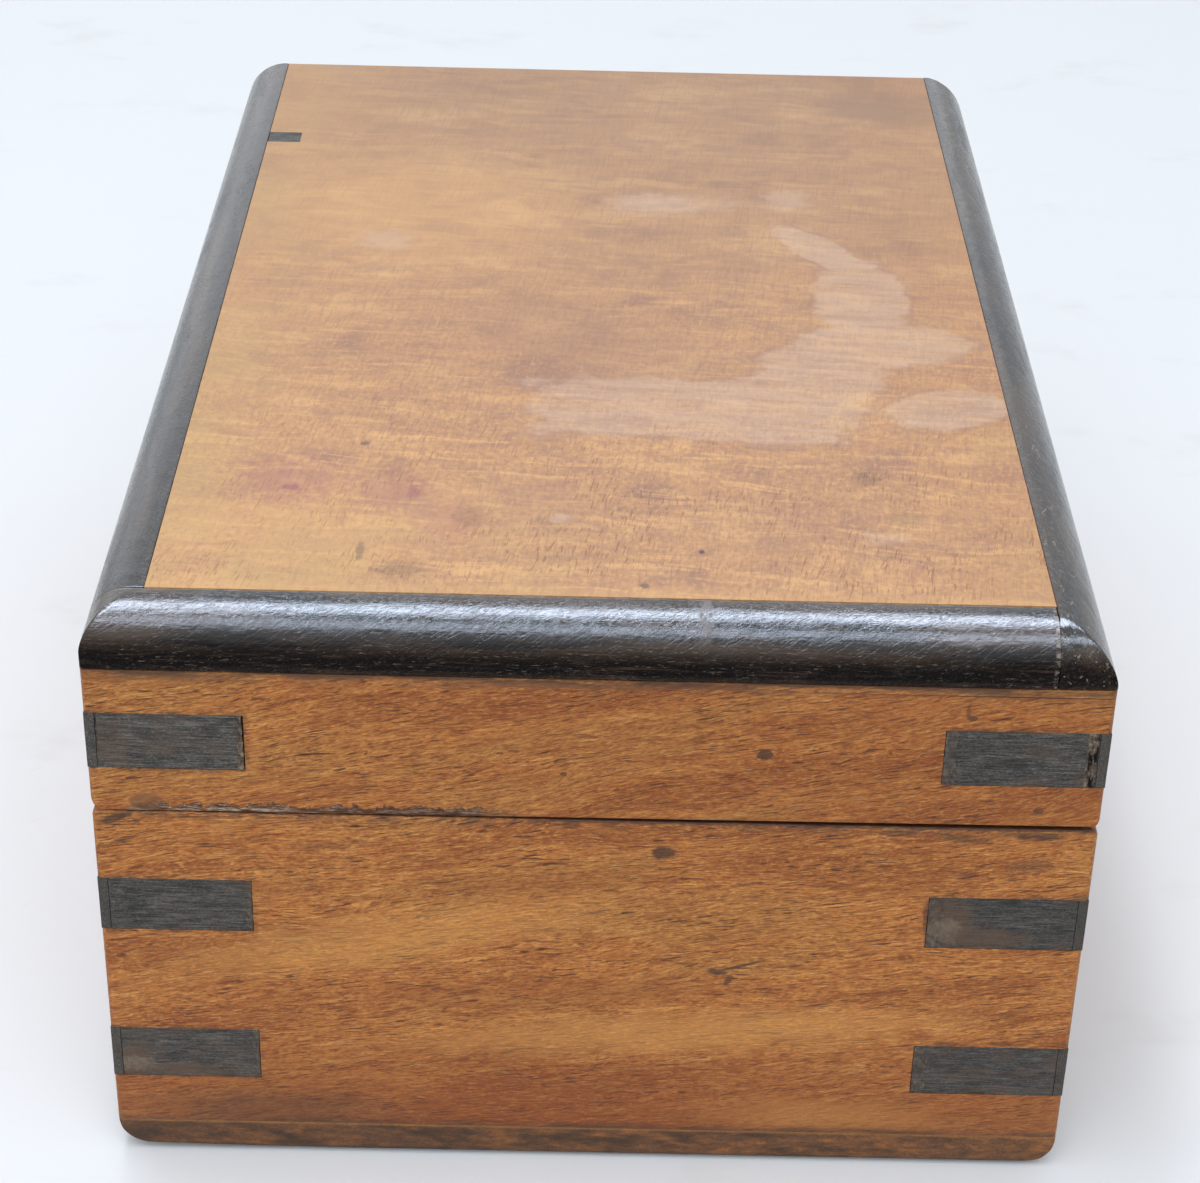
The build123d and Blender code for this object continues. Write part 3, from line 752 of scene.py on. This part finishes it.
def polished_ebony(name, turn, marks):
    """Ebony beading, scraped, polished and handled: near black with brown streaks and pale flecks along the
    grain, a strong shine that the scraper's strokes and grooves break up, brown dust above and a duller,
    dirtier foot."""
    ebony = bpy.context.scene.keepsake_ebony
    material, place = new_material(name)
    x, y, z = axes_of(place)
    stroke = (turn[0], turn[1] - 24, turn[2] + 26)
    streak = cloudy(place, (9, 0.5, 0.5), 5.0, 0.72, turn)
    zone = cloudy(place, (30, 4, 4), 3.0, 0.5, turn, (2, 2, 2))
    fleck = cloudy(place, (1.2, 0.24, 0.24), 2.0, 0.6, turn, (1, 1, 1))
    scratch = cloudy(place, (3.0, 0.36, 0.36), 4.0, 0.66, stroke)
    groove = fade(cloudy(place, (4.5, 0.34, 0.34), 2.0, 0.6, stroke, (3, 9, 4)), 0.55, 0.64)
    fibre = cloudy(place, (3.4, 0.3, 0.3), 3.0, 0.66, turn, (8, 8, 8))
    dent = cloudy(place, (4.0, 1.8, 1.8), 2.0, 0.5, turn, (6, 6, 6))
    matt = cloudy(place, (16, 3, 3), 3.0, 0.6, turn, (5, 1, 5))
    dust = both(fade(zone, 0.42, 0.62), fade(z, BEAD_FOOT + 2.5, BEAD_FOOT + 5.5))
    flecks = both(fade(fleck, 0.6, 0.72), fade(zone, 0.4, 0.58))
    foot = both(fade(z, BEAD_FOOT + 1.3, BEAD_FOOT + 0.3),
                fade(cloudy(place, (14, 2, 1.2), 3.0, 0.6, turn), 0.32, 0.54))
    colour = add("ValToRGB", (streak,), stops=((0.4, ebony.black), (0.7, ebony.brown), (0.52, ebony.black)))
    colour = over(colour, (dust, ebony.smear, 0.34), (flecks, ebony.crumb, 0.36), (foot, ebony.smear, 0.14))
    roughness = ramp(fade(scratch, 0.42, 0.6), 0.0, 1.0, 0.06, 0.24)
    roughness = plus(plus(roughness, fade(matt, 0.5, 0.7), 0.14), foot, 0.12)
    height = plus(plus(plus(scratch, dent, 2.0), fibre, 0.7), groove, -0.45)
    colour, roughness = marks(place, (x, y, z), colour, roughness)
    finish(colour, roughness, height, 0.044, IOR=1.5, Specular_IOR_Level=0.9)
    return material


def front_beading_marks(place, axes, colour, roughness):
    """Dirt in the front beading's joints, in a pale broken line where it meets the top board and down its
    butt joint with the right beading, and a narrow dusty scrape across it."""
    ebony = bpy.context.scene.keepsake_ebony
    x, y, z = axes
    broken = fade(cloudy(place, (2.2, 0.6, 1.2), 3.0, 0.65), 0.4, 0.56)
    inner = fade(y, BEAD_INNER_FRONT - 0.7, BEAD_INNER_FRONT - 0.1)
    butt = fade(x, BEAD_INNER_X - 0.9, BEAD_INNER_X - 0.4)
    dirty = both(either(inner, butt), broken)
    scrape = both(band(x, 15.4, 0.6, 0.6), fade(z, BOX_TOP - 3.6, BOX_TOP - 2),
                  fade(cloudy(place, (0.8, 1.0, 1.0), 3.0, 0.6), 0.36, 0.6))
    colour = over(colour, (scrape, ebony.crumb, 0.3), (dirty, ebony.crumb, 0.8))
    return colour, plus(roughness, either(dirty, scrape), 0.45)


def side_beading_marks(place, axes, colour, roughness):
    """Pale chips along the right beading's top near the front."""
    x, y, _ = axes
    chips = fade(cloudy(place, (2.6, 0.7, 0.7), 2.0, 0.6, (0, 0, 70), (3, 8, 1)), 0.64, 0.7)
    where = both(chips, fade(y, -30, -55), fade(x, 66, 68))
    return over(colour, (where, bpy.context.scene.keepsake_ebony.crumb, 0.7)), roughness


def worn_ebony(name, turn, along_x):
    """Ebony straps, planed flush and never polished: worn charcoal grey with fine paler lines along the
    grain, a dusty bloom, brown dirt rubbed over them, and crumbs of dry filler at their ends."""
    ebony = bpy.context.scene.keepsake_ebony
    material, place = new_material(name)
    x, y, z = axes_of(place)
    line = cloudy(place, (3.2, 0.2, 0.2), 4.0, 0.74, turn)
    dust = cloudy(place, (0.5, 0.24, 0.24), 3.0, 0.66, turn, (2, 2, 2))
    zone = cloudy(place, (7, 3, 3), 5.0, 0.66, turn, (4, 4, 4))
    smears = both(fade(z, 28, 20),
                  fade(cloudy(place, (5, 1.1, 1.1), 4.0, 0.66, turn, (8, 8, 8)), 0.48, 0.62))
    colour = add("ValToRGB", (line,), stops=(
        (0.36, ebony.strap_dark), (0.68, ebony.strap_pale), (0.5, ebony.grey)))
    colour = over(
        colour, (fade(dust, 0.52, 0.3), ebony.strap_dark, 0.6),
        (fade(dust, 0.5, 0.72), ebony.strap_pale, 0.6), (fade(zone, 0.5, 0.66), ebony.smear, 0.4),
        (fade(zone, 0.48, 0.34), ebony.strap_dark, 0.6),
        (fade(z, BODY_RIM, BODY_RIM - 1), ebony.strap_dark, 0.2),
        # Painted shade: the straps on the right half darker, as the light falls from the left
        (fade(x, -1, 1), ebony.strap_dark, 0.16), (smears, ebony.smear, 0.5))
    height = line
    if along_x:
        colour, height = end_strap_marks(place, (x, y, z), colour, height)
    finish(colour, ramp(line, 0.3, 0.7, 0.74, 0.54), height, 0.07, IOR=1.5, Specular_IOR_Level=0.35)
    return material


def end_strap_marks(place, axes, colour, height):
    """The end straps' worn ends: a thin line of brown crumbs at the inner ends, strongest on the lid's left
    strap, a short crack near that strap's outer end, a band of crumbly filler with holes at the outer end of
    the lid's right one, and brown smears on the lid's left, the body's upper right and its lower left
    ones."""
    ebony = bpy.context.scene.keepsake_ebony
    smear, crumb = ebony.smear, ebony.crumb
    x, _, z = axes
    low, high = STRAP_HEIGHTS["lid"]
    upper_low, upper_high = STRAP_HEIGHTS["upper"]
    lower_low = STRAP_HEIGHTS["lower"][0]
    crumbs = cloudy(place, (0.55, 2, 0.9), 4.0, 0.7, shift=(7, 7, 7))
    ragged = plus(size_of(x), crumbs, -2.2)
    near_end = fade(ragged, END_STRAP_END + 0.3, END_STRAP_END - 0.3)
    on_lid = band(z, (low + high) / 2, (high - low) / 2, 0.1)
    fullest = ramp(both(on_lid, fade(x, 0, -1)), 0.0, 1.0, 0.3, 0.85)
    filler = add("ValToRGB", (crumbs,), stops=((0.38, ebony.strap_dark), (0.64, crumb), (0.5, smear)))
    crack = both(band(x, -74.3, 0.12, 0.12), band(z, high - 3.2, 2.2, 0.6),
                 fade(crumbs, 0.36, 0.5))
    old_filler = both(band(x, 73.5, 0.7, 0.3), on_lid)
    pitted = fade(cloudy(place, (0.9, 2, 2.4), 3.0, 0.66, shift=(3, 1, 2)), 0.5, 0.56)
    holes = both(pitted, band(x, 73.6, 0.5, 0.3), on_lid)
    colour = over(colour, (both(near_end, fullest), filler, 1.0), (crack, ebony.hole, 0.95),
                  (old_filler, filler, 0.8), (holes, ebony.hole, 1.0))
    colour = spotted(place, colour, (1.1, 0.8, 0.4), (
        (smear, 0.9, 55.0, (upper_low + upper_high) / 2, 3.6, 4.0),
        (crumb, 0.45, 54.2, upper_low + 2.8, 2.4, 2.4), (smear, 0.85, 60.5, upper_low + 1.5, 6.5, 1.7),
        (smear, 0.8, -72.4, lower_low + 3.4, 2.6, 3.0), (crumb, 0.5, -72.6, lower_low + 2.4, 3.0, 1.4),
        (smear, 0.8, -65.0, lower_low + 1.4, 8.0, 1.2), (smear, 0.45, -72.5, (low + high) / 2, 3.2, 3.6),
        (smear, 0.25, -63.0, (low + high) / 2, 5.0, 2.2)),
        within=[ramp(crumbs, 0.38, 0.6, 0.5, 1.0)], **ON_FRONT)
    loose = both(either(near_end, old_filler), crumbs)
    return colour, plus(plus(height, loose, 3.0), holes, -4.0)


def aged_metal(name, bright, dull, share, roughness):
    """Metal that has lain in the air for years: bright where it was rubbed, dull brown in patches."""
    material, place = new_material(name)
    patches = cloudy(place, (3, 3, 3), 4.0, 0.62)
    scratch = cloudy(place, (4, 0.2, 0.2), 2.0, 0.6, (0, 0, 25))
    colour = over(bright, (fade(patches, share + 0.12, share - 0.12), dull, 1.0))
    rough = ramp(patches, 0.3, 0.7, roughness + 0.22, roughness - 0.05)
    finish(colour, rough, scratch, 0.02, Metallic=1.0)
    return material


# Stage

def camera_turn(pitch, yaw, roll):
    """The camera's turn: rows of right, forward and up are the world's axes turned by yaw about Z, then by
    pitch about X, then by roll about the line of sight. Its columns are right, up and backward."""
    cy, sy, cp, sp, cr, sr = (f(a) for a in (yaw, pitch, roll) for f in (math.cos, math.sin))
    about_z = np.array([[cy, sy, 0], [-sy, cy, 0], [0, 0, 1]])
    about_x = np.array([[1, 0, 0], [0, cp, -sp], [0, sp, cp]])
    about_y = np.array([[cr, 0, sr], [0, 1, 0], [-sr, 0, cr]])
    right, forward, up = about_y @ about_x @ about_z
    return Matrix(np.array([right, up, -forward]).T.tolist())


def place_camera(stage):
    """The camera, where and as the sidebar says."""
    camera = bpy.data.objects.new("camera", bpy.data.cameras.new("camera"))
    camera.data.lens = stage.lens
    camera.data.sensor_width = SENSOR_MM
    camera.data.clip_start, camera.data.clip_end = NEAREST, FARTHEST
    turn = camera_turn(stage.pitch, stage.yaw, stage.roll)
    camera.matrix_world = Matrix.Translation(stage.eye) @ turn.to_4x4()
    bpy.context.scene.collection.objects.link(camera)
    bpy.context.scene.camera = camera


def painted_floor(stage):
    """Painted board, rolled matt and scuffed. It gives a pale, even ground with faint grey smudges, which
    ends in the dark where polished edges mirror it in front of the box."""
    material, place = new_material("Painted board, floor")
    y = axes_of(place)[1]
    smudge = cloudy(place, (45, 30, 30), 4.0, 0.6)
    specks = cloudy(place, (9, 0.5, 9), 2.0, 0.6, (0, 0, 30))
    rays = add("LightPath", tree=place.id_data).node.outputs
    table_end = both(rays["Is Glossy Ray"], fade(y, TABLE_END_MM, DARK_END_MM))
    colour = over(stage.floor, (fade(smudge, 0.56, 0.8), stage.scuff, 0.24),
                  (fade(specks, 0.7, 0.8), stage.scuff, 0.3), (table_end, stage.shade, 1.0))
    finish(colour, ramp(smudge, 0.3, 0.7, 0.6, 0.75), smudge, 0.05, IOR=1.45, Specular_IOR_Level=0.25)
    return material


def lay_floor(stage):
    """A flat square of floor at the box's foot: a grid of points FLOOR_REACH each way, on Z = 0."""
    places = np.linspace(-FLOOR_REACH, FLOOR_REACH, FLOOR_LINES)
    xs, ys = (grid.reshape(-1) for grid in np.meshgrid(places, places, indexing="ij"))
    index = np.arange(len(xs)).reshape(FLOOR_LINES, -1)
    faces = np.stack([index[:-1, :-1], index[1:, :-1], index[1:, 1:], index[:-1, 1:]], -1).reshape(-1, 4)
    mesh = bpy.data.meshes.new("floor")
    mesh.from_pydata(np.stack([xs, ys, xs * 0], -1).tolist(), [], faces.tolist())
    mesh.materials.append(painted_floor(stage))
    floor = bpy.data.objects.new("floor", mesh)
    bpy.context.scene.collection.objects.link(floor)


def surround_light(stage):
    """The soft light all round: even for the surfaces, pale behind the box for the camera, and for polished
    edges a pale room that is dark in front, below where its windows begin."""
    world = bpy.data.worlds.new("Pale surround")
    bpy.context.scene.world = world
    world.use_nodes = True
    world.node_tree.nodes.clear()
    _, y, z = axes_of(add("TexCoord", tree=world.node_tree).node.outputs["Generated"])
    dark_room = both(fade(y, -0.2, -0.5), fade(z, 0.72, 0.1), fade(z, -0.1, 0.0))
    mirrored = ramp(dark_room, 0.0, 1.0, PALE_ROOM, DARK_ROOM)
    rays = add("LightPath", tree=world.node_tree).node.outputs
    sharp = either(rays["Is Glossy Ray"], rays["Is Transmission Ray"])
    brightness = add("Mix", (sharp, stage.surround, mirrored), data_type="FLOAT")
    brightness = add("Mix", (rays["Is Camera Ray"], brightness, BACKDROP), data_type="FLOAT")
    add("OutputWorld", {"Surface": add("Background", {"Color": stage.sky, "Strength": brightness})})


def lamp(name, size, where, aim, radiance, unseen, stage):
    """A flat lamp that faces its aim: its power is pi times its area and its radiance. A window that only
    polished edges mirror is blue, and the rays that light the rest pass it by."""
    light = bpy.data.lights.new(name, "AREA")
    light.shape = "RECTANGLE"
    light.size, light.size_y = size
    light.energy = math.pi * size[0] * size[1] * radiance
    light.color = stage.window_tint if unseen == "diffuse" else stage.lamp_tint
    holder = bpy.data.objects.new(name, light)
    bpy.context.scene.collection.objects.link(holder)
    holder.location = where
    across, along, up = np.array(aim) - where
    holder.rotation_euler = (math.atan2(math.hypot(across, along), -up), 0, math.atan2(-across, along))
    if unseen:
        setattr(holder, f"visible_{unseen}", False)


# Pieces

class KEEPSAKE_OT_boards(bpy.types.Operator):
    """Gives the boards of body, lid and bottom their timber"""
    bl_idname = "keepsake.boards"
    bl_label = "Finish the Boards"

    def execute(self, context):
        finishes = {
            "body_front_board": waxed_teak(
                "Waxed teak, body front", (0, -8, 0), (3, 0, 5), True, body_front_marks),
            "lid_front_board": waxed_teak(
                "Waxed teak, lid front", (0, -12, 0), (21, 2, 13), True, lid_front_marks),
            "body_back_board": waxed_teak("Waxed teak, back", (0, 5, 0), (11, 0, 31), True),
            "body_left_board": waxed_teak("Waxed teak, sides", (0, -5, 90), (31, 9, 5), False),
            "lid_top_board": waxed_top_teak("Waxed quarter-sawn teak, top"),
            "bottom_board": dirty_bottom_teak("Bare sawn teak, bottom"),
        }
        same = {"lid_back_board": "body_back_board", "body_right_board": "body_left_board",
                "lid_left_board": "body_left_board", "lid_right_board": "body_left_board"}
        for node in (*finishes, *same):
            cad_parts[node].material_slots[0].material = finishes[same.get(node, node)]
        return {"FINISHED"}


class KEEPSAKE_OT_beading(bpy.types.Operator):
    """Makes the three lengths of ebony beading round the lid's top"""
    bl_idname = "keepsake.beading"
    bl_label = "Make the Beading"

    def execute(self, context):
        along_x = polished_ebony("Polished ebony, front beading", (0, 0, 0), front_beading_marks)
        along_y = polished_ebony("Polished ebony, side beading", (0, 0, 90), side_beading_marks)
        pieces = (("front_beading", along_x), ("left_beading", along_y), ("right_beading", along_y))
        for seed, (node, material) in enumerate(pieces):
            set_in_place(node, *beading_form(node, seed), material, "lid", "beading_ebony")
        return {"FINISHED"}


class KEEPSAKE_OT_straps(bpy.types.Operator):
    """Makes the straps let in round the corners, and the patch in the top"""
    bl_idname = "keepsake.straps"
    bl_label = "Make the Straps"

    def execute(self, context):
        along_x = worn_ebony("Worn ebony, end straps", (0, 0, 0), True)
        along_y = worn_ebony("Worn ebony, side straps", (0, 0, 90), False)
        torn = context.scene.keepsake_ebony.strap_torn
        seed = FIRST_STRAP_SEED
        for row, body in STRAP_ROWS.items():
            for corner in CORNERS:
                for face, material in (("end", along_x), ("side", along_y)):
                    node = f"{row}_{corner}_{face}_strap"
                    depth = torn if node == "lid_front_left_end_strap" else torn / 3
                    set_in_place(node, *strap_form(node, seed, depth), material, body, "strap_ebony")
                    seed += 1
        set_in_place("top_patch", *strap_form("top_patch", seed, 0.0), along_x, "lid", "strap_ebony")
        return {"FINISHED"}


class KEEPSAKE_OT_fixings(bpy.types.Operator):
    """Gives hinges, screws and nails their metal"""
    bl_idname = "keepsake.fixings"
    bl_label = "Finish the Fixings"

    def execute(self, context):
        metal = context.scene.keepsake_metal
        brass = aged_metal("Aged brass, cast and filed", metal.brass, metal.tarnish, 0.5, 0.34)
        steel = aged_metal("Dull turned steel", metal.steel, metal.rust, 0.42, 0.38)
        rusty = aged_metal("Rusty wire steel", metal.steel, metal.rust, 0.56, 0.6)
        for name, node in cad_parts.items():
            if name.endswith("_screws"):
                node.material_slots[0].material = steel
            elif "_hinge_" in name:
                node.material_slots[0].material = brass
            elif name == "bottom_nails":
                node.material_slots[0].material = rusty
        return {"FINISHED"}


class KEEPSAKE_OT_stage(bpy.types.Operator):
    """Sets up the floor, the surround, the lamps and the camera"""
    bl_idname = "keepsake.stage"
    bl_label = "Set the Stage"

    def execute(self, context):
        stage = context.scene.keepsake_stage
        context.scene.view_settings.view_transform = "Standard"
        place_camera(stage)
        lay_floor(stage)
        surround_light(stage)
        for name, (size, where, aim, radiance, unseen) in LAMPS.items():
            lamp(name, size, where, aim, getattr(stage, radiance), unseen, stage)
        return {"FINISHED"}


class KEEPSAKE_PT_panel(bpy.types.Panel):
    """The keepsake box in the sidebar"""
    bl_label = "Keepsake Box"
    bl_idname = "KEEPSAKE_PT_panel"
    bl_space_type = "VIEW_3D"
    bl_region_type = "UI"
    bl_category = "Keepsake Box"

    def draw(self, context):
        for operator in OPERATORS:
            self.layout.operator(operator.bl_idname)
        for group in GROUPS:
            column = self.layout.column(align=True)
            settings = getattr(context.scene, group)
            for name in settings.bl_rna.properties.keys():
                if name not in ("rna_type", "name"):
                    column.prop(settings, name)


GROUPS = {"keepsake_timber": KeepsakeTimber, "keepsake_ebony": KeepsakeEbony, "keepsake_metal": KeepsakeMetal,
          "keepsake_stage": KeepsakeStage}
OPERATORS = (KEEPSAKE_OT_stage, KEEPSAKE_OT_boards, KEEPSAKE_OT_beading, KEEPSAKE_OT_straps,
             KEEPSAKE_OT_fixings)


def register():
    for cls in (*GROUPS.values(), *OPERATORS, KEEPSAKE_PT_panel):
        bpy.utils.register_class(cls)
    for name, cls in GROUPS.items():
        setattr(bpy.types.Scene, name, bpy.props.PointerProperty(type=cls))


def unregister():
    for name in GROUPS:
        delattr(bpy.types.Scene, name)
    for cls in reversed((*GROUPS.values(), *OPERATORS, KEEPSAKE_PT_panel)):
        bpy.utils.unregister_class(cls)


def main():
    register()
    bpy.ops.keepsake.stage()
    bpy.ops.keepsake.boards()
    bpy.ops.keepsake.beading()
    bpy.ops.keepsake.straps()
    bpy.ops.keepsake.fixings()


if __name__ == "__main__":
    main()
